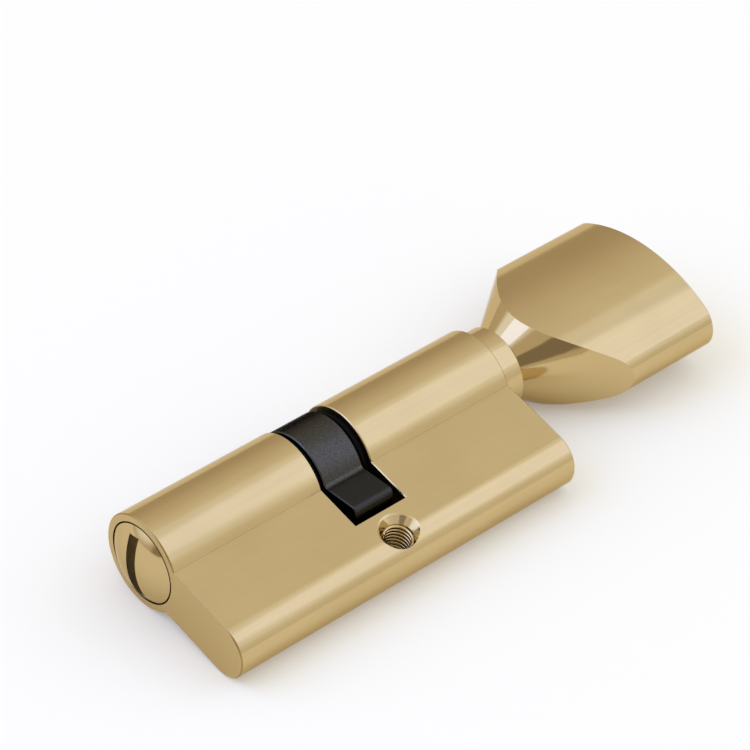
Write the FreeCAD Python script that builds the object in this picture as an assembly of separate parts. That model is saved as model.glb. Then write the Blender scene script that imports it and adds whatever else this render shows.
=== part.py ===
import FreeCAD, Part
import math
import os
from FreeCAD import Vector

# Bathroom door cylinder of the European profile. A coin-slot release plug turns in one end of a brass
# housing and a thumbturn in the other, and both drive the black cam in the middle.
# Everything is built in the profile's own frame: X along the barrel towards the knob, Y from the
# stem's foot up to the round barrel, Z out of one flat side, with the barrel axis on X. At the end the
# whole lock is laid on its side, as it comes to rest, with the fixing hole's middle at the origin.
# All sizes are in millimetres.

# Housing
BARREL_D = 17.0
STEM_T = 10.0
PROFILE_H = 33.0
FOOT_R = 4.75
RELEASE_L = 35.0
KNOB_L = 35.0
END_CHAMFER = 0.2
SLOT_W = 10.4
MOUTH_CHAMFER = 0.15
RELIEF_W = 0.5
RELIEF_DEPTH = 0.06
SCREW_DROP = 20.0
SCREW_D = 5.0
SINK_D = 7.1
SINK_DEPTH = 1.4
SINK_LIP = 0.15

# Release plug
PLUG_D = 13.0
HEAD_D = 13.8
HEAD_L = 2.6
DOME_H = 2.2
COIN_SLOT_W = 2.2
COIN_SLOT_L = 11.2
COIN_SLOT_DEPTH = 0.8
COIN_SLOT_TURN_DEG = 9.8

# Cam
CAM_D = 16.4
CAM_L = 7.9
LEVER_R = 15.1
LEVER_ROOT_T = 7.1
LEVER_TIP_T = 8.3
LEVER_ROOT_FILLET = 0.8
LEVER_TIP_FILLET = 0.9
CAM_WEB = 3.0
CAM_CHAMFER = 0.2

# Drive bar through the cam
BAR_W = 9.0
BAR_T = 3.0
BAR_REACH = 5.0

# Circlips
CLIP_T = 0.7
CLIP_W = 1.5
CLIP_OPENING_DEG = 70.0
CLIP_SEAT_DEPTH = 0.5

# Thumbturn spindle
COLLAR_D = 14.4
COLLAR_L = 4.2
STUB_D = 8.0
STUB_L = 13.0
STUB_FLAT = 0.5

# Thumbturn knob
NECK_D = 10.5
CONE_SLOPE_DEG = 35.9
PADDLE_W = 33.4
PADDLE_T = 16.2
PADDLE_EDGE_R = 4.9
KNOB_TOTAL_L = 34.8
PADDLE_END_CHAMFER = 0.4

# Knob grub screw
GRUB_D = 4.0
GRUB_L = 4.0
GRUB_AT = 8.0
GRUB_KEY = 2.0
GRUB_KEY_DEPTH = 1.8

# Friction ball and its spring, in a cross hole of the spindle
BALL_D = 3.0
BALL_AT = 20.0
BALL_HOLE_DEPTH = 6.0
SPRING_WIRE = 0.35
SPRING_TURNS = 3.5

# Clearances
RUN_GAP = 0.05
THREAD_GAP = 0.03
FLOOR_GAP = 0.15
THRUST_GAP = 0.1
CLIP_GAP = 0.12
HEAD_GAP = 0.25
KNOB_GAP = 0.3
BALL_GAP = 0.02

# Worked out from the above
barrel_r = BARREL_D / 2
half_stem = STEM_T / 2
foot_y = barrel_r - PROFILE_H
junction_y = -math.sqrt(barrel_r ** 2 - half_stem ** 2)
plug_r = PLUG_D / 2
bore_r = plug_r + RUN_GAP
head_r = HEAD_D / 2
half_slot = SLOT_W / 2
slot_floor_y = -(LEVER_R + FLOOR_GAP)
half_web = CAM_WEB / 2
plug_end_x = half_web + THRUST_GAP
clip_x = half_slot - CLIP_GAP - CLIP_T
cam_start_x = CLIP_GAP - clip_x
cam_end_x = cam_start_x + CAM_L
clip_seat_r = plug_r - CLIP_SEAT_DEPTH
collar_x = KNOB_L + THRUST_GAP
knob_x = collar_x + COLLAR_L + KNOB_GAP
knob_end_x = knob_x + KNOB_TOTAL_L
half_paddle = PADDLE_W / 2

X_AXIS = Vector(1, 0, 0)
ORIGIN = Vector(0, 0, 0)


def rod(radius, x0, x1):
    """A round bar on the barrel axis, from x0 to x1."""
    return Part.makeCylinder(radius, x1 - x0, Vector(x0, 0, 0), X_AXIS)


def block(x0, x1, y0, y1, z0, z1):
    """A rectangular block between two corners."""
    return Part.makeBox(x1 - x0, y1 - y0, z1 - z0, Vector(x0, y0, z0))


def edges_at_x(shape, x):
    """The edges of a shape that lie wholly in the plane at x."""
    found = []
    for edge in shape.Edges:
        box = edge.BoundBox
        if abs(box.XMin - x) < 1e-6 and abs(box.XMax - x) < 1e-6:
            found.append(edge)
    return found


def lock_profile(x):
    """The European profile at x: a round barrel over a flat stem with a rounded foot."""
    corner = FOOT_R * (1 - math.sqrt(0.5))

    def at(y, z):
        return Vector(x, y, z)

    def foot_corner(side):
        return Part.Arc(
            at(foot_y + FOOT_R, side * half_stem),
            at(foot_y + corner, side * (half_stem - corner)),
            at(foot_y, side * (half_stem - FOOT_R)),
        ).toShape()

    edges = [
        Part.Arc(at(junction_y, half_stem), at(barrel_r, 0), at(junction_y, -half_stem)).toShape(),
        Part.makeLine(at(junction_y, -half_stem), at(foot_y + FOOT_R, -half_stem)),
        foot_corner(-1),
        Part.makeLine(at(foot_y, FOOT_R - half_stem), at(foot_y, half_stem - FOOT_R)),
        foot_corner(1),
        Part.makeLine(at(foot_y + FOOT_R, half_stem), at(junction_y, half_stem)),
    ]
    return Part.Face(Part.Wire(Part.__sortEdges__(edges)))


def housing_half(x_slot, x_end):
    """One half of the housing, with a fine chamfer at the cam slot and a wider one at its end."""
    body = lock_profile(x_slot).extrude(Vector(x_end - x_slot, 0, 0))
    body = body.makeChamfer(END_CHAMFER, edges_at_x(body, x_end))
    return body.makeChamfer(MOUTH_CHAMFER, edges_at_x(body, x_slot))


def housing_bridge():
    """The stem between the two halves, under the cam slot."""
    half = half_slot + 2 * MOUTH_CHAMFER
    stem = lock_profile(-half).extrude(Vector(2 * half, 0, 0))
    below = block(-half, half, foot_y - 1, slot_floor_y, -barrel_r, barrel_r)
    bridge = stem.common(below)
    lips = []
    for edge in bridge.Edges:
        box = edge.BoundBox
        along_floor = abs(box.YMin - slot_floor_y) < 1e-6 and abs(box.YMax - slot_floor_y) < 1e-6
        if along_floor and box.XLength > half:
            lips.append(edge)
    return bridge.makeChamfer(MOUTH_CHAMFER, lips)


def fixing_hole():
    """The hole for the fixing screw: its thread's root cylinder, and a lipped countersink each side."""
    root_r = SCREW_D / 2 + THREAD_GAP
    axis_point = Vector(0, -SCREW_DROP, -half_stem)
    tool = Part.makeCylinder(root_r, STEM_T, axis_point)
    for side in (-1, 1):
        mouth = Vector(0, -SCREW_DROP, side * half_stem)
        inward = Vector(0, 0, -side)
        sink = Part.makeCone(SINK_D / 2, root_r, SINK_DEPTH, mouth, inward)
        lip_end_r = SINK_D / 2 - SINK_LIP * (SINK_D / 2 - root_r) / SINK_DEPTH
        lip = Part.makeCone(SINK_D / 2 + SINK_LIP, lip_end_r, SINK_LIP, mouth, inward)
        tool = tool.fuse([sink, lip])
    return tool


def housing():
    """The one-piece brass body: two bored halves joined by the stem under the cam slot."""
    body = housing_half(-half_slot, -RELEASE_L)
    body = body.fuse([housing_half(half_slot, KNOB_L), housing_bridge()]).removeSplitter()
    for side in (-1, 1):
        inner = side * (half_stem - RELIEF_DEPTH)
        outer = side * (half_stem + 1)
        relief = block(
            -RELEASE_L, KNOB_L, junction_y - RELIEF_W, junction_y, min(inner, outer), max(inner, outer)
        )
        body = body.cut(relief)
    bores = rod(bore_r, -RELEASE_L - 1, KNOB_L + 1)
    head_seat = rod(head_r + HEAD_GAP, -RELEASE_L - 1, -RELEASE_L + HEAD_L + THRUST_GAP)
    return body.cut([bores, head_seat, fixing_hole()])


def clip_groove(x0, x1):
    """What is turned away from a plug for its circlip."""
    return rod(plug_r + 1, x0, x1).cut(rod(clip_seat_r, x0, x1))


def bar_pocket(x0, x1):
    """The broached pocket that the drive bar seats in."""
    half_w = BAR_W / 2 + RUN_GAP
    half_t = BAR_T / 2 + RUN_GAP
    return block(x0, x1, -half_w, half_w, -half_t, half_t)


def release_plug():
    """The plug of the outside end, turned with a coin in the slot of its domed head."""
    face_x = -RELEASE_L
    head = rod(head_r, face_x, face_x + HEAD_L)
    dome_r = (head_r ** 2 + DOME_H ** 2) / (2 * DOME_H)
    ball = Part.makeSphere(dome_r, Vector(face_x - DOME_H + dome_r, 0, 0))
    dome = ball.common(rod(head_r, face_x - DOME_H, face_x))
    body = rod(plug_r, face_x + HEAD_L, -plug_end_x)
    plug = body.fuse([head, dome]).removeSplitter()
    coin_slot = block(
        face_x - DOME_H - 1, face_x + COIN_SLOT_DEPTH,
        -COIN_SLOT_W / 2, COIN_SLOT_W / 2, -COIN_SLOT_L / 2, COIN_SLOT_L / 2,
    )
    coin_slot.rotate(ORIGIN, X_AXIS, -COIN_SLOT_TURN_DEG)
    groove = clip_groove(-clip_x - CLIP_T - CLIP_GAP / 2, -clip_x + CLIP_GAP / 2)
    pocket = bar_pocket(-(half_web + BAR_REACH + THRUST_GAP), -plug_end_x + 1)
    return plug.cut([coin_slot, groove, pocket])


def circlip(x0):
    """An open spring ring that sits in a plug's groove, its opening away from the lever."""
    inner_r = clip_seat_r + RUN_GAP
    ring = rod(clip_seat_r + CLIP_W, x0, x0 + CLIP_T).cut(rod(inner_r, x0, x0 + CLIP_T))
    reach = 2 * (clip_seat_r + CLIP_W)
    half_open = math.radians(CLIP_OPENING_DEG / 2)
    tip = [Vector(x0, reach * math.cos(half_open), side * reach * math.sin(half_open)) for side in (1, -1)]
    wedge = Part.Face(Part.makePolygon([Vector(x0, 0, 0), tip[0], tip[1], Vector(x0, 0, 0)]))
    return ring.cut(wedge.extrude(Vector(CLIP_T, 0, 0)))


def lever_outline(x):
    """The cam's lever at x, from inside the ring out to its round end, a little wider at the tip."""
    root_y = 0.0
    slope = (LEVER_TIP_T - LEVER_ROOT_T) / 2 / (LEVER_R - CAM_D / 2)
    half_at_axis = LEVER_ROOT_T / 2 - slope * CAM_D / 2
    tip_half = LEVER_TIP_T / 2
    tip_y = -math.sqrt(LEVER_R ** 2 - tip_half ** 2)
    half_at_tip = half_at_axis - slope * tip_y
    corners = [Vector(x, root_y, half_at_axis), Vector(x, tip_y, half_at_tip)]
    mirrored = [Vector(x, tip_y, -half_at_tip), Vector(x, root_y, -half_at_axis)]
    edges = [
        Part.makeLine(corners[0], corners[1]),
        Part.Arc(corners[1], Vector(x, -LEVER_R, 0), mirrored[0]).toShape(),
        Part.makeLine(mirrored[0], mirrored[1]),
        Part.makeLine(mirrored[1], corners[0]),
    ]
    return Part.Face(Part.Wire(edges))


def edges_along_x_at_radius(shape, radius, tolerance):
    """The edges of a shape that run along the barrel at about a radius from its axis."""
    found = []
    for edge in shape.Edges:
        box = edge.BoundBox
        if box.XLength < CAM_L / 2 or box.YLength > 1e-6 or box.ZLength > 1e-6:
            continue
        if abs(math.hypot(box.YMin, box.ZMin) - radius) < tolerance:
            found.append(edge)
    return found


def cam():
    """The cam: a ring that the plugs seat in from both sides, and the lever that moves the bolt."""
    lever = lever_outline(cam_start_x).extrude(Vector(CAM_L, 0, 0))
    lever = lever.makeFillet(LEVER_TIP_FILLET, edges_along_x_at_radius(lever, LEVER_R, 0.2))
    body = rod(CAM_D / 2, cam_start_x, cam_end_x).fuse(lever).removeSplitter()
    roots = [edge for edge in edges_along_x_at_radius(body, CAM_D / 2, 1e-4) if edge.BoundBox.YMin < -1]
    body = body.makeFillet(LEVER_ROOT_FILLET, roots)
    rims = edges_at_x(body, cam_start_x) + edges_at_x(body, cam_end_x)
    body = body.makeChamfer(CAM_CHAMFER, rims)
    sockets = [rod(bore_r, cam_start_x, -half_web), rod(bore_r, half_web, cam_end_x)]
    return body.cut(sockets + [bar_pocket(-half_web, half_web)])


def drive_bar():
    """The flat steel bar that turns both plugs and the cam together."""
    half_l = half_web + BAR_REACH
    return block(-half_l, half_l, -BAR_W / 2, BAR_W / 2, -BAR_T / 2, BAR_T / 2)


def ball_hole():
    """The blind cross hole of the spindle, open on the underside."""
    top = plug_r + 1
    deep = plug_r - BALL_HOLE_DEPTH
    radius = BALL_D / 2 + RUN_GAP
    return Part.makeCylinder(radius, top - deep, Vector(BALL_AT, 0, -deep), Vector(0, 0, -1))


def turn_spindle():
    """The thumbturn's spindle: its body turns in the bore, and its collar bears on the end face."""
    body = rod(plug_r, plug_end_x, collar_x)
    collar = rod(COLLAR_D / 2, collar_x, collar_x + COLLAR_L)
    collar = collar.makeChamfer(MOUTH_CHAMFER, edges_at_x(collar, collar_x + COLLAR_L))
    stub = rod(STUB_D / 2, collar_x + COLLAR_L, collar_x + COLLAR_L + STUB_L)
    spindle = body.fuse([collar, stub]).removeSplitter()
    flat_z = -(STUB_D / 2 - STUB_FLAT)
    flat = block(
        knob_x + GRUB_AT - GRUB_D, collar_x + COLLAR_L + STUB_L, -STUB_D, STUB_D, -STUB_D, flat_z
    )
    groove = clip_groove(clip_x - CLIP_GAP / 2, clip_x + CLIP_T + CLIP_GAP / 2)
    pocket = bar_pocket(plug_end_x - 1, half_web + BAR_REACH + THRUST_GAP)
    return spindle.cut([flat, groove, pocket, ball_hole()])


def paddle_section(x):
    """The knob's grip at x: two crowned faces that run into rounded side edges."""
    half_t = PADDLE_T / 2
    reach = half_paddle - PADDLE_EDGE_R
    crown_r = (reach ** 2 + half_t ** 2 - PADDLE_EDGE_R ** 2) / (2 * (half_t - PADDLE_EDGE_R))
    turn = math.atan2(reach, crown_r - half_t)
    meet_y = crown_r * math.sin(turn)
    meet_z = half_t - crown_r + crown_r * math.cos(turn)

    def at(y, z):
        return Vector(x, y, z)

    edges = [
        Part.Arc(at(-meet_y, meet_z), at(0, half_t), at(meet_y, meet_z)).toShape(),
        Part.Arc(at(meet_y, meet_z), at(half_paddle, 0), at(meet_y, -meet_z)).toShape(),
        Part.Arc(at(meet_y, -meet_z), at(0, -half_t), at(-meet_y, -meet_z)).toShape(),
        Part.Arc(at(-meet_y, -meet_z), at(-half_paddle, 0), at(-meet_y, meet_z)).toShape(),
    ]
    return Part.Face(Part.Wire(edges))


def flared_neck():
    """The round bar that the knob is turned from: a cone out of the neck, then full width."""
    full_r = half_paddle + 1
    flare_l = (full_r - NECK_D / 2) / math.tan(math.radians(CONE_SLOPE_DEG))
    points = [
        Vector(knob_x, 0, 0),
        Vector(knob_x, NECK_D / 2, 0),
        Vector(knob_x + flare_l, full_r, 0),
        Vector(knob_end_x, full_r, 0),
        Vector(knob_end_x, 0, 0),
    ]
    return Part.Face(Part.makePolygon(points + points[:1])).revolve(ORIGIN, X_AXIS, 360)


def thumbturn():
    """The knob: a flared round neck milled into a broad grip, bored for the spindle's stub."""
    paddle = paddle_section(knob_x).extrude(Vector(KNOB_TOTAL_L, 0, 0))
    paddle = paddle.makeChamfer(PADDLE_END_CHAMFER, edges_at_x(paddle, knob_end_x))
    knob = flared_neck().common(paddle)
    bore = rod(STUB_D / 2 + RUN_GAP, knob_x - 1, collar_x + COLLAR_L + STUB_L + KNOB_GAP)
    screw_hole = Part.makeCylinder(
        GRUB_D / 2 + RUN_GAP, PADDLE_T, Vector(knob_x + GRUB_AT, 0, 0), Vector(0, 0, -1)
    )
    return knob.cut([bore, screw_hole])


def knob_grub_screw():
    """The set screw that holds the knob on the flat of the spindle's stub."""
    tip_z = -(STUB_D / 2 - STUB_FLAT)
    foot = Vector(knob_x + GRUB_AT, 0, tip_z)
    down = Vector(0, 0, -1)
    screw = Part.makeCylinder(GRUB_D / 2, GRUB_L, foot, down)
    corner_r = GRUB_KEY / math.sqrt(3)
    hexagon = []
    for step in range(7):
        angle = math.radians(60 * step)
        hexagon.append(foot + Vector(corner_r * math.cos(angle), corner_r * math.sin(angle), -GRUB_L))
    key_hole = Part.Face(Part.makePolygon(hexagon)).extrude(Vector(0, 0, GRUB_KEY_DEPTH))
    return screw.cut(key_hole)


def ball_centre_z():
    """How far under the barrel axis the friction ball's centre lies."""
    return -(bore_r - BALL_GAP - BALL_D / 2)


def friction_ball():
    """The steel ball that presses on the bore and keeps the knob where it is put."""
    return Part.makeSphere(BALL_D / 2, Vector(BALL_AT, 0, ball_centre_z()))


def friction_spring():
    """The coil spring behind the ball, from the floor of the cross hole to the ball."""
    floor_z = -(plug_r - BALL_HOLE_DEPTH)
    ball_top_z = ball_centre_z() + BALL_D / 2
    mean_r = BALL_D / 2 - SPRING_WIRE
    length = floor_z - ball_top_z - SPRING_WIRE
    helix = Part.makeHelix(length / SPRING_TURNS, length, mean_r)
    helix.translate(Vector(BALL_AT, 0, ball_top_z + SPRING_WIRE / 2))
    start = helix.Vertexes[0].Point
    half = SPRING_WIRE / 2
    corners = [Vector(-half, 0, -half), Vector(half, 0, -half), Vector(half, 0, half), Vector(-half, 0, half)]
    wire_end = Part.makePolygon([start + corner for corner in corners + corners[:1]])
    return Part.Wire(helix).makePipeShell([wire_end], True, True)


def lying_angle():
    """The turn about X that lays the lock on its side, resting on the barrel and the foot's corner."""
    drop = -(foot_y + FOOT_R)
    inset = half_stem - FOOT_R
    slope = math.asin((barrel_r - FOOT_R) / math.hypot(drop, inset))
    return math.degrees(slope - math.atan2(inset, drop))


def lay_down(shape):
    """Moves a shape from the profile's frame to the lock at rest, fixing hole at the origin."""
    shape.translate(Vector(0, SCREW_DROP, 0))
    shape.rotate(ORIGIN, X_AXIS, lying_angle())
    return shape


def turn_with_knob(shape):
    """Turns a shape on the barrel axis until the knob's grip is level with the table."""
    shape.rotate(ORIGIN, X_AXIS, -lying_angle())
    return shape


def build():
    """All the pieces of the lock, by name, where they are at rest."""
    turning = {
        "release_plug": release_plug(),
        "release_circlip": circlip(-clip_x - CLIP_T),
        "cam": cam(),
        "drive_bar": drive_bar(),
        "turn_spindle": turn_spindle(),
        "spindle_circlip": circlip(clip_x),
        "thumbturn": thumbturn(),
        "knob_grub_screw": knob_grub_screw(),
        "friction_ball": friction_ball(),
        "friction_spring": friction_spring(),
    }
    pieces = {"housing": lay_down(housing())}
    for name, shape in turning.items():
        pieces[name] = lay_down(turn_with_knob(shape))
    return pieces


os.makedirs("parts", exist_ok=True)
for name, shape in build().items():
    shape.exportStep("parts/" + name + ".step")
    print(name, "solids", len(shape.Solids), "valid", shape.isValid(), "volume", round(shape.Volume, 1))
print("lying angle", round(lying_angle(), 3))
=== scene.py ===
import math

import bmesh
import bpy
from mathutils import Matrix, Quaternion, Vector


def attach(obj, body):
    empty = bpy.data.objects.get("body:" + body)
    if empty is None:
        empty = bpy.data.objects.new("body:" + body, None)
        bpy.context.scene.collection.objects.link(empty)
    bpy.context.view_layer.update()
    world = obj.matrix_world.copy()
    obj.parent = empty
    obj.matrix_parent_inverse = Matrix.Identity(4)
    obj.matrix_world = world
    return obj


MM = 0.001
MICRON = 0.000001

# How the lock lies on the table
LYING_DEG = 10.219         # how far the stem's flat sides lean
TABLE_Z = -4.951 * MM
BARREL_AXIS = Vector((0, 19.683, 3.548)) * MM
COIN_SLOT_TURN_DEG = 9.8   # how far the coin slot is turned from upright

# Colours of the finishes, and of the painted shade and light, linear
BRASS = (0.60, 0.446, 0.203)
BRASS_DEEP = (0.555, 0.405, 0.178)
BRASS_EDGE_TINT = (0.78, 0.66, 0.45)
# painted shade: near-black brass in the fixing hole, on the cam slot's walls and in the gap round the plug's
# head
BRASS_PAINTED_SHADE = (0.075, 0.055, 0.030)
# painted shade: a greyer brass for the shaded inside of the coin slot
BRASS_SLOT_PAINTED_SHADE = (0.51, 0.44, 0.30)
# painted shade: a darker brass on the chamfers round the end faces, dimming the highlight they catch
BRASS_END_EDGE_PAINTED_SHADE = (0.37, 0.235, 0.07)
# painted light: a paler brass that lightens the countersinks' cones
BRASS_COUNTERSINK_PAINTED_LIGHT = (0.67, 0.53, 0.28)
# painted light: a paler brass on the hidden end face under the knob, for a paler reflection of it in the
# knob's cone
BRASS_KNOB_END_PAINTED_LIGHT = (0.72, 0.60, 0.38)
BLACK = (0.059, 0.055, 0.046)
BLACK_WORN = (0.082, 0.076, 0.064)
BLACK_LEVER = (0.035, 0.034, 0.031)
BLACK_EDGE_TINT = (0.25, 0.25, 0.25)
# near black: the springs' own oxide, and painted shade on the cam's sides in the slot
OXIDE_AND_PAINTED_SHADE = (0.001, 0.001, 0.001)
OXIDE_WORN = (0.004, 0.004, 0.004)
STEEL = (0.50, 0.50, 0.52)

# Grain of the finishes, in waves per metre along X, Y and Z
FINE_BRUSHING = (40, 6500, 6500)
BROAD_BRUSHING = (25, 1900, 1900)
BRASS_CLOUDS = (90, 120, 120)
CAM_MOTTLE = (2600, 4200, 4200)
CAM_SPECKLE = (3500, 6000, 6000)
SPRING_SPECKLE = (3000, 3000, 3000)
STEEL_HAZE = (1500, 1500, 1500)

# The clear lacquer over the brass
LACQUER_WEIGHT = 0.35
LACQUER_IOR = 1.5
LACQUER_ROUGHNESS = 0.08

# Where one finish, or a painted shade or light, gives way to another. X and the fixing hole are measured from
# the hole's middle, and radii round the barrel from its axis. Each limit lies just beside the wall or edge it
# stands for.
ROUND_HOLE = (1, 1, 0)
ROUND_BARREL = (0, 1, 1)
HOLE_WALL_R = 2.62 * MM
HOLE_WALL_HALF_L = 3.3 * MM
CAM_SLOT_WALL_X = 5.26 * MM
HEAD_SEAT_R = 7.17 * MM
HEAD_RIM_R = 6.885 * MM
END_FACE_X = 34.9 * MM
END_CHAMFER_X = 34.75 * MM
COIN_SLOT_HALF_W = 1.12 * MM
COIN_SLOT_FLOOR_X = 34.6 * MM
CAM_RING_R = 8.75 * MM
CAM_LEVER_R = 9.0 * MM
SHARP = 0.01 * MM

# The fixing hole's countersinks and its M5 thread
HOLE_R = 2.53 * MM
SINK_BOTTOM_Z = 3.6 * MM
SINK_SLOPE = 0.7286        # how much wider the cone gets for its depth
THREAD_ROOT_R = 2.58 * MM
THREAD_CREST_R = 2.10 * MM
THREAD_PITCH = 0.8 * MM
THREAD_ROOT_HALF_W = 0.42 * THREAD_PITCH
THREAD_CREST_HALF_W = 0.1 * THREAD_PITCH
THREAD_HALF_L = 3.35 * MM
THREAD_STEPS = 48          # faces in one turn

# The room, as panels of light: azimuth, elevation, half angle outside and inside the soft edge, colour
ROOM_TONE = (0.73, 0.68, 0.64)
ROOM_PANELS = [
    (0, 90, 29, 20, (1.5, 1.48, 1.45)),
    (33, 2, 36, 2, (0.585, 0.535, 0.485)),
    (126, 46, 68, 22, (0.92, 0.93, 0.97)),
    (126, 46, 33, 31, (1.06, 1.12, 1.29)),
    (126, 46, 30, 6, (0.90, 0.99, 1.42)),
    (-55, 38, 40, 26, (1.20, 1.35, 1.85)),
    (-137, 19, 17, 13, (0.315, 0.285, 0.26)),
    (-97, 2, 19, 9, (0.36, 0.33, 0.29)),
]

# The soft boxes: name, azimuth, elevation, width, height, watts, tint
SOFT_BOX_DISTANCE = 0.9
SOFT_BOX_AIM = Vector((0.018, 0.012, 0))
SOFT_BOXES = [
    ("key soft box", 126, 46, 0.6, 0.6, 0.5, (0.83, 0.9, 1.1)),
    ("left soft box", -58, 47, 0.56, 0.5, 1.0, (0.35, 0.53, 1.63)),
]

# The table top
TABLE_HALF_SIDE = 4.0
TABLE_COLOUR = (0.81, 0.775, 0.64)
TABLE_ROUGHNESS = 0.9
TABLE_LIFT = 0.18          # light of its own, where the camera or a mirrored ray sees it

# The camera
CAMERA_PLACE = Vector((-278.69, -280.96, 381.93)) * MM
CAMERA_TURN_DEG = -44.138
CAMERA_DOWN_DEG = 41.081
CAMERA_ROLL_DEG = 3.908
CAMERA_LENS = 168.09
CAMERA_SENSOR = 36.0
CAMERA_SHIFT = (-0.0057, -0.0045)


# shader helpers

def new_material(name):
    """An empty principled material, its node tree and its shader."""
    material = bpy.data.materials.new(name)
    material.use_nodes = True
    nodes = material.node_tree.nodes
    nodes.clear()
    output = nodes.new("ShaderNodeOutputMaterial")
    surface = nodes.new("ShaderNodeBsdfPrincipled")
    material.node_tree.links.new(surface.outputs["BSDF"], output.inputs["Surface"])
    return material, material.node_tree, surface


def object_point(tree, scale=(1, 1, 1), turn_deg=0.0):
    """Object coordinates, turned about X and stretched."""
    coordinates = tree.nodes.new("ShaderNodeTexCoord")
    mapping = tree.nodes.new("ShaderNodeMapping")
    mapping.inputs["Scale"].default_value = scale
    mapping.inputs["Rotation"].default_value = (math.radians(turn_deg), 0, 0)
    tree.links.new(coordinates.outputs["Object"], mapping.inputs["Vector"])
    return mapping.outputs["Vector"]


def noise(tree, scale, detail, roughness=0.5):
    """A soft noise from 0 to 1 over the object."""
    texture = tree.nodes.new("ShaderNodeTexNoise")
    texture.inputs["Scale"].default_value = 1.0
    texture.inputs["Detail"].default_value = detail
    texture.inputs["Roughness"].default_value = roughness
    tree.links.new(object_point(tree, scale), texture.inputs["Vector"])
    return texture.outputs["Fac"]


def spread(tree, value, low, high, to_low, to_high):
    """Maps a value from low..high to to_low..to_high, held at the ends."""
    node = tree.nodes.new("ShaderNodeMapRange")
    node.interpolation_type = "SMOOTHSTEP"
    for name, number in (("From Min", low), ("From Max", high), ("To Min", to_low), ("To Max", to_high)):
        node.inputs[name].default_value = number
    tree.links.new(value, node.inputs["Value"])
    return node.outputs["Result"]


def maths(tree, operation, first, second=0):
    """One sum of two values, each a number or another node's output."""
    node = tree.nodes.new("ShaderNodeMath")
    node.operation = operation
    for socket, value in zip(node.inputs, (first, second)):
        if isinstance(value, (int, float)):
            socket.default_value = value
        else:
            tree.links.new(value, socket)
    return node.outputs["Value"]


def times(tree, first, second):
    return maths(tree, "MULTIPLY", first, second)


def plus(tree, first, second):
    return maths(tree, "ADD", first, second)


def unless(tree, share):
    """The rest of a share: 1 where it is 0, and 0 where it is 1."""
    return maths(tree, "SUBTRACT", 1, share)


def colour_between(tree, share, first, second):
    """The first colour where the share is 0, and the second where it is 1."""
    node = tree.nodes.new("ShaderNodeMix")
    node.data_type = "RGBA"
    for socket, value in ((node.inputs["A"], first), (node.inputs["B"], second)):
        if isinstance(value, tuple):
            socket.default_value = (*value, 1)
        else:
            tree.links.new(value, socket)
    tree.links.new(share, node.inputs["Factor"])
    return node.outputs["Result"]


def bump(tree, height, distance, under):
    """Normals of a fine relief, laid over the normals under it."""
    node = tree.nodes.new("ShaderNodeBump")
    node.inputs["Strength"].default_value = 1.0
    node.inputs["Distance"].default_value = distance
    tree.links.new(height, node.inputs["Height"])
    tree.links.new(under, node.inputs["Normal"])
    return node.outputs["Normal"]


def eased_edges(tree, radius):
    """Normals that run smoothly round an edge, as if it were broken by a narrow bevel."""
    node = tree.nodes.new("ShaderNodeBevel")
    node.samples = 6
    node.inputs["Radius"].default_value = radius
    return node.outputs["Normal"]


# places on the lock

def within(tree, value, limit, softness=SHARP):
    """1 where the value is below the limit and 0 above it."""
    return spread(tree, value, limit - softness, limit + softness, 1, 0)


def beyond(tree, value, limit, softness=SHARP):
    """1 where the value is above the limit and 0 below it."""
    return spread(tree, value, limit - softness, limit + softness, 0, 1)


def along(tree, point, axis):
    """How far a point lies along an axis."""
    parts = tree.nodes.new("ShaderNodeSeparateXYZ")
    tree.links.new(point, parts.inputs["Vector"])
    return parts.outputs[axis]


def either_way(tree, point, axis):
    """How far a point lies along an axis, on either side."""
    return maths(tree, "ABSOLUTE", along(tree, point, axis))


def distance_across(tree, point, keep):
    """How far a point is from the origin, counting only the axes that are kept."""
    across = tree.nodes.new("ShaderNodeVectorMath")
    across.operation = "MULTIPLY"
    across.inputs[1].default_value = keep
    tree.links.new(point, across.inputs[0])
    length = tree.nodes.new("ShaderNodeVectorMath")
    length.operation = "LENGTH"
    tree.links.new(across.outputs["Vector"], length.inputs[0])
    return length.outputs["Value"]


def from_barrel_axis(tree, turn_deg=0.0):
    """Object coordinates measured from the barrel's axis, turned about it."""
    offset = tree.nodes.new("ShaderNodeVectorMath")
    offset.operation = "SUBTRACT"
    offset.inputs[1].default_value = BARREL_AXIS
    tree.links.new(object_point(tree), offset.inputs[0])
    turned = tree.nodes.new("ShaderNodeMapping")
    turned.inputs["Rotation"].default_value = (math.radians(turn_deg), 0, 0)
    tree.links.new(offset.outputs["Vector"], turned.inputs["Vector"])
    return turned.outputs["Vector"]


def facing_along_barrel(tree, none_at=0.3, all_at=0.42):
    """1 where the surface faces along the barrel, as end faces and cones do, and 0 on its long sides."""
    coordinates = tree.nodes.new("ShaderNodeTexCoord")
    return spread(tree, either_way(tree, coordinates.outputs["Normal"], "X"), none_at, all_at, 0, 1)


def flat_end(tree):
    """1 on faces that are square to the barrel."""
    return facing_along_barrel(tree, none_at=0.9, all_at=0.97)


def painted_shade_in_housing(tree):
    """1 where dark is painted in as shade: in the fixing hole, on the cam slot's walls and round the plug's
    head.
    """
    hole = object_point(tree, turn_deg=-LYING_DEG)
    bore = within(tree, distance_across(tree, hole, ROUND_HOLE), HOLE_WALL_R, 0.04 * MM)
    bore = times(tree, bore, within(tree, either_way(tree, hole, "Z"), HOLE_WALL_HALF_L, 0.1 * MM))
    near_slot = within(tree, either_way(tree, hole, "X"), CAM_SLOT_WALL_X)
    walls = times(tree, near_slot, flat_end(tree))
    seat = within(tree, distance_across(tree, from_barrel_axis(tree), ROUND_BARREL), HEAD_SEAT_R)
    return maths(tree, "MAXIMUM", maths(tree, "MAXIMUM", bore, walls), seat)


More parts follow.
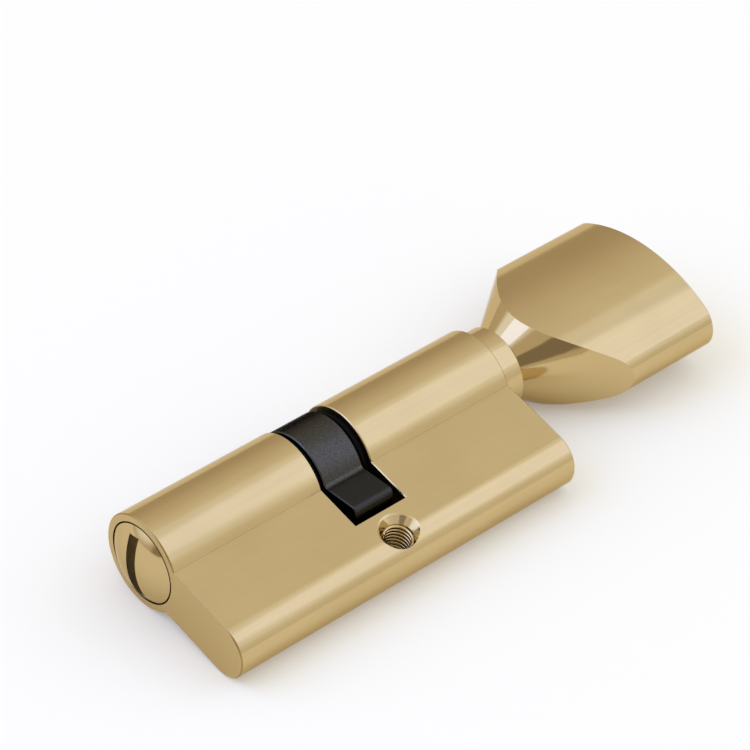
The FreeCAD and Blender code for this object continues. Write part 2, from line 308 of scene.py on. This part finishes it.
def painted_light_in_countersink(tree):
    """1 on the cones of the fixing hole's countersinks, where a paler brass is painted in as light; they are
    smoother too.
    """
    hole = object_point(tree, turn_deg=-LYING_DEG)
    widening = times(tree, either_way(tree, hole, "Z"), SINK_SLOPE)
    outside_cone = maths(tree, "SUBTRACT", distance_across(tree, hole, ROUND_HOLE), widening)
    return within(tree, outside_cone, HOLE_R - SINK_BOTTOM_Z * SINK_SLOPE + 0.03 * MM)


def end_face_under_knob(tree):
    """1 on the housing's end face under the knob, which the knob's cone mirrors; a paler brass is painted
    there as light, so that the mirrored face looks paler.
    """
    at_end = beyond(tree, along(tree, object_point(tree), "X"), END_FACE_X, 0.05 * MM)
    return times(tree, at_end, flat_end(tree))


def painted_shade_on_end_edges(tree):
    """1 on the narrow chamfers round the two end faces, where a darker brass is painted in as shade to dim
    their highlight.
    """
    at_end = beyond(tree, either_way(tree, object_point(tree), "X"), END_CHAMFER_X, 0.03 * MM)
    off_the_side = facing_along_barrel(tree, none_at=0.35, all_at=0.5)
    off_the_face = unless(tree, facing_along_barrel(tree, none_at=0.85, all_at=0.95))
    return times(tree, at_end, times(tree, off_the_side, off_the_face))


def painted_shade_in_coin_slot(tree):
    """1 on the walls and the floor of the coin slot, where a greyer brass is painted in for the shade inside
    it.
    """
    point = from_barrel_axis(tree, COIN_SLOT_TURN_DEG)
    inside = within(tree, either_way(tree, point, "Y"), COIN_SLOT_HALF_W)
    floor = beyond(tree, along(tree, point, "X"), -COIN_SLOT_FLOOR_X, 0.02 * MM)
    walls = unless(tree, facing_along_barrel(tree, none_at=0.55, all_at=0.65))
    return times(tree, inside, maths(tree, "MAXIMUM", floor, walls))


def painted_shade_round_head(tree):
    """1 on the rim of the plug's head, which runs close to its seat, where the gap's shade is painted in dark.
    """
    return beyond(tree, distance_across(tree, from_barrel_axis(tree), ROUND_BARREL), HEAD_RIM_R)


# finishes

def lacquered_brass(name, side_roughness, end_roughness, grain, streak, edge=0.06 * MM, parts_apart=()):
    """Brass under a clear lacquer, brushed along the barrel, and turned smooth on its ends and cones.

    Grain and streak are the heights of the fine and the broad brushing. Each part apart is a place on the
    piece, with its colour and how much rougher it is.
    """
    material, tree, surface = new_material(name)
    ends = facing_along_barrel(tree)
    sides = unless(tree, ends)
    fine = noise(tree, FINE_BRUSHING, detail=3)
    broad = noise(tree, BROAD_BRUSHING, detail=3)
    clouds = noise(tree, BRASS_CLOUDS, detail=3)
    brushed = plus(tree, times(tree, fine, 0.3), times(tree, broad, 0.15))
    tone = plus(tree, times(tree, brushed, sides), times(tree, clouds, 0.5))
    shade = colour_between(tree, spread(tree, tone, 0.2, 0.7, 0, 1), BRASS_DEEP, BRASS)
    rough = plus(tree, times(tree, sides, side_roughness), times(tree, ends, end_roughness))
    rough = times(tree, rough, spread(tree, broad, 0.35, 0.65, 1.08, 0.92))
    for where, colour, rougher in parts_apart:
        share = where(tree)
        shade = colour_between(tree, share, shade, colour)
        rough = plus(tree, rough, times(tree, share, rougher))
    relief = bump(tree, times(tree, broad, sides), streak, under=eased_edges(tree, edge))
    relief = bump(tree, times(tree, fine, sides), grain, under=relief)
    tree.links.new(shade, surface.inputs["Base Color"])
    tree.links.new(rough, surface.inputs["Roughness"])
    tree.links.new(relief, surface.inputs["Normal"])
    surface.inputs["Metallic"].default_value = 1.0
    surface.inputs["Specular Tint"].default_value = (*BRASS_EDGE_TINT, 1)
    surface.inputs["Coat Weight"].default_value = LACQUER_WEIGHT
    surface.inputs["Coat IOR"].default_value = LACQUER_IOR
    surface.inputs["Coat Roughness"].default_value = LACQUER_ROUGHNESS
    return material


def blackened_cam(name):
    """Blackened metal with a fine mottled grain, darker on the lever, and painted near black as shade on its
    sides that face along the barrel inside the slot.
    """
    material, tree, surface = new_material(name)
    mottle = noise(tree, CAM_MOTTLE, detail=4, roughness=0.6)
    speckle = noise(tree, CAM_SPECKLE, detail=2)
    shade = colour_between(tree, spread(tree, mottle, 0.4, 0.62, 0, 1), BLACK, BLACK_WORN)
    reach = distance_across(tree, from_barrel_axis(tree), ROUND_BARREL)
    lever = spread(tree, reach, CAM_RING_R, CAM_LEVER_R, 0, 0.8)
    shade = colour_between(tree, lever, shade, BLACK_LEVER)
    # painted shade: the sides in the slot's shade go near black, and rougher
    painted_shade_sides = facing_along_barrel(tree, none_at=0.8, all_at=0.95)
    shade = colour_between(tree, painted_shade_sides, shade, OXIDE_AND_PAINTED_SHADE)
    rough = plus(tree, spread(tree, speckle, 0.3, 0.7, 0.2, 0.34), times(tree, painted_shade_sides, 0.25))
    relief = bump(tree, speckle, 4 * MICRON, under=eased_edges(tree, 0.12 * MM))
    tree.links.new(shade, surface.inputs["Base Color"])
    tree.links.new(rough, surface.inputs["Roughness"])
    tree.links.new(relief, surface.inputs["Normal"])
    surface.inputs["Metallic"].default_value = 1.0
    surface.inputs["Specular Tint"].default_value = (*BLACK_EDGE_TINT, 1)
    return material


def blackened_spring(name):
    """Oil-blackened spring steel, nearly without gloss."""
    material, tree, surface = new_material(name)
    speckle = noise(tree, SPRING_SPECKLE, detail=3)
    tree.links.new(colour_between(tree, speckle, OXIDE_AND_PAINTED_SHADE, OXIDE_WORN), surface.inputs["Base Color"])
    tree.links.new(spread(tree, speckle, 0.3, 0.7, 0.5, 0.7), surface.inputs["Roughness"])
    surface.inputs["Specular IOR Level"].default_value = 0.1
    return material


def plain_steel(name):
    """Bare steel with a faint haze."""
    material, tree, surface = new_material(name)
    haze = noise(tree, STEEL_HAZE, detail=3)
    tree.links.new(spread(tree, haze, 0.3, 0.7, 0.22, 0.36), surface.inputs["Roughness"])
    surface.inputs["Base Color"].default_value = (*STEEL, 1)
    surface.inputs["Metallic"].default_value = 1.0
    return material


# pieces

def put_in_scene(name, data):
    """A new object at the origin, in the scene."""
    thing = bpy.data.objects.new(name, data)
    bpy.context.scene.collection.objects.link(thing)
    return thing


def finished_mesh(mesh_builder, name, finish):
    """A mesh with one finish, made of a bmesh, which ends with that."""
    mesh = bpy.data.meshes.new(name)
    mesh_builder.to_mesh(mesh)
    mesh_builder.free()
    mesh.materials.append(finish)
    return mesh


def fixing_thread(finish):
    """The ridges of the M5 thread in the fixing hole, one helix with closed ends."""
    ridge = bmesh.new()
    section = [
        ridge.verts.new((THREAD_ROOT_R, 0, -THREAD_HALF_L - THREAD_ROOT_HALF_W)),
        ridge.verts.new((THREAD_CREST_R, 0, -THREAD_HALF_L - THREAD_CREST_HALF_W)),
        ridge.verts.new((THREAD_CREST_R, 0, -THREAD_HALF_L + THREAD_CREST_HALF_W)),
        ridge.verts.new((THREAD_ROOT_R, 0, -THREAD_HALF_L + THREAD_ROOT_HALF_W)),
    ]
    face = ridge.faces.new(section)
    turns = 2 * THREAD_HALF_L / THREAD_PITCH
    steps = round(turns * THREAD_STEPS)
    bmesh.ops.spin(
        ridge, geom=[face, *face.edges, *section], cent=(0, 0, 0), axis=(0, 0, 1),
        dvec=(0, 0, 2 * THREAD_HALF_L / steps), angle=turns * 2 * math.pi, steps=steps, use_duplicate=False,
    )
    bmesh.ops.recalc_face_normals(ridge, faces=ridge.faces)
    bmesh.ops.rotate(
        ridge, cent=(0, 0, 0), matrix=Matrix.Rotation(math.radians(LYING_DEG), 3, "X"), verts=ridge.verts
    )
    mesh = finished_mesh(ridge, "fixing_thread", finish)
    for side in mesh.polygons:
        side.use_smooth = True
    thread = put_in_scene("fixing_thread", mesh)
    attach(thread, "housing")


# studio

def studio_floor():
    """A pale table top that keeps the shadow and reads as white."""
    material, tree, surface = new_material("white table")
    surface.inputs["Base Color"].default_value = (*TABLE_COLOUR, 1)
    surface.inputs["Roughness"].default_value = TABLE_ROUGHNESS
    surface.inputs["Specular IOR Level"].default_value = 0.0
    path = tree.nodes.new("ShaderNodeLightPath")
    seen = plus(tree, path.outputs["Is Camera Ray"], path.outputs["Is Glossy Ray"])
    seen = plus(tree, seen, path.outputs["Is Transmission Ray"])
    surface.inputs["Emission Color"].default_value = (1, 1, 1, 1)
    tree.links.new(times(tree, seen, TABLE_LIFT), surface.inputs["Emission Strength"])
    top = bmesh.new()
    bmesh.ops.create_grid(top, x_segments=1, y_segments=1, size=TABLE_HALF_SIDE)
    bmesh.ops.translate(top, vec=(0, 0, TABLE_Z), verts=top.verts)
    put_in_scene("table_top", finished_mesh(top, "table_top", material))


def aim(azimuth, elevation):
    """A direction from the lock. Azimuth 0 points along +Y and 90 along +X."""
    a, e = math.radians(azimuth), math.radians(elevation)
    return Vector((math.sin(a) * math.cos(e), math.cos(a) * math.cos(e), math.sin(e)))


def studio_surround():
    """The room around the table: dim and warm low at the back, with pale panels and two dark screens."""
    world = bpy.data.worlds.new("room")
    bpy.context.scene.world = world
    world.use_nodes = True
    tree = world.node_tree
    tree.nodes.clear()
    output = tree.nodes.new("ShaderNodeOutputWorld")
    backdrop = tree.nodes.new("ShaderNodeBackground")
    direction = tree.nodes.new("ShaderNodeTexCoord").outputs["Generated"]
    tone = ROOM_TONE
    for azimuth, elevation, outer_deg, inner_deg, colour in ROOM_PANELS:
        facing = tree.nodes.new("ShaderNodeVectorMath")
        facing.operation = "DOT_PRODUCT"
        facing.inputs[1].default_value = aim(azimuth, elevation)
        tree.links.new(direction, facing.inputs[0])
        outer, inner = math.cos(math.radians(outer_deg)), math.cos(math.radians(inner_deg))
        tone = colour_between(tree, spread(tree, facing.outputs["Value"], outer, inner, 0, 1), tone, colour)
    tree.links.new(tone, backdrop.inputs["Color"])
    tree.links.new(backdrop.outputs["Background"], output.inputs["Surface"])


def soft_box(name, azimuth, elevation, width, height, watts, tint):
    """A soft box that faces the lock."""
    lamp = bpy.data.lights.new(name, "AREA")
    lamp.shape = "RECTANGLE"
    lamp.size, lamp.size_y = width, height
    lamp.energy = watts
    lamp.color = tint
    box = put_in_scene(name, lamp)
    towards = aim(azimuth, elevation)
    box.location = SOFT_BOX_AIM + towards * SOFT_BOX_DISTANCE
    box.rotation_euler = (-towards).to_track_quat("-Z", "Y").to_euler()
    box.visible_camera = False


def camera_at_the_photo():
    """The view from above and in front of the release end."""
    view = bpy.data.cameras.new("camera")
    view.sensor_width = CAMERA_SENSOR
    view.lens = CAMERA_LENS
    view.shift_x, view.shift_y = CAMERA_SHIFT
    view.clip_start, view.clip_end = 0.05, 20.0
    eye = put_in_scene("camera", view)
    turn, down = math.radians(CAMERA_TURN_DEG), math.radians(CAMERA_DOWN_DEG)
    forward = Vector((-math.sin(turn) * math.cos(down), math.cos(turn) * math.cos(down), -math.sin(down)))
    roll = Quaternion((0, 0, 1), math.radians(CAMERA_ROLL_DEG))
    eye.rotation_mode = "QUATERNION"
    eye.rotation_quaternion = forward.to_track_quat("-Z", "Y") @ roll
    eye.location = CAMERA_PLACE
    bpy.context.scene.camera = eye


# the lock

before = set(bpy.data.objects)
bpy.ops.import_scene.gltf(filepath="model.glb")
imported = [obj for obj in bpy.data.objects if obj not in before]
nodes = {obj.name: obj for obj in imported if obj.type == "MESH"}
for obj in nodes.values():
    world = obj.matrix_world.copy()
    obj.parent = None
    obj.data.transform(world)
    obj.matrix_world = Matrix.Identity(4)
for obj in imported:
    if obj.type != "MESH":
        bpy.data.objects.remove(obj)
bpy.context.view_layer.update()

satin = lacquered_brass(
    "satin brass of the housing",
    side_roughness=0.19, end_roughness=0.24, grain=1.2 * MICRON, streak=0.4 * MICRON, edge=0.035 * MM,
    parts_apart=[
        # painted light on the countersinks' cones, which are also smoother
        (painted_light_in_countersink, BRASS_COUNTERSINK_PAINTED_LIGHT, -0.08),
        # painted light on the end face under the knob, which the cone mirrors
        (end_face_under_knob, BRASS_KNOB_END_PAINTED_LIGHT, 0),
        # painted shade on the end faces' chamfers
        (painted_shade_on_end_edges, BRASS_END_EDGE_PAINTED_SHADE, 0.1),
        # painted shade in the fixing hole, on the cam slot's walls and round the plug's head
        (painted_shade_in_housing, BRASS_PAINTED_SHADE, 0.2),
    ],
)
spindle = lacquered_brass(
    "turned brass of the spindle",
    side_roughness=0.15, end_roughness=0.18, grain=0.8 * MICRON, streak=0.3 * MICRON,
)
knob = lacquered_brass(
    "satin brass of the knob",
    side_roughness=0.14, end_roughness=0.09, grain=0.5 * MICRON, streak=0.3 * MICRON,
)
plug = lacquered_brass(
    "polished brass of the plug",
    side_roughness=0.09, end_roughness=0.09, grain=0.4 * MICRON, streak=0.3 * MICRON,
    # painted shade: a greyer brass in the coin slot, and dark in the gap round the plug's head
    parts_apart=[(painted_shade_in_coin_slot, BRASS_SLOT_PAINTED_SHADE, 0.2), (painted_shade_round_head, BRASS_PAINTED_SHADE, 0.2)],
)
cut_brass = lacquered_brass(
    "cut brass of the thread",
    side_roughness=0.13, end_roughness=0.13, grain=0.4 * MICRON, streak=0.3 * MICRON, edge=0.03 * MM,
)
black = blackened_cam("blackened cam")
black_spring = blackened_spring("black spring steel")
steel = plain_steel("plain steel")

finishes = {
    "housing": satin, "release_plug": plug, "turn_spindle": spindle, "thumbturn": knob, "cam": black,
    "release_circlip": black_spring, "spindle_circlip": black_spring, "drive_bar": steel,
    "knob_grub_screw": steel, "friction_ball": steel, "friction_spring": steel,
}
for name, finish in finishes.items():
    data = nodes[name].data
    data.materials.clear()
    data.materials.append(finish)

fixing_thread(cut_brass)

studio_floor()
studio_surround()
for box in SOFT_BOXES:
    soft_box(*box)
camera_at_the_photo()
bpy.context.scene.view_settings.view_transform = "Standard"
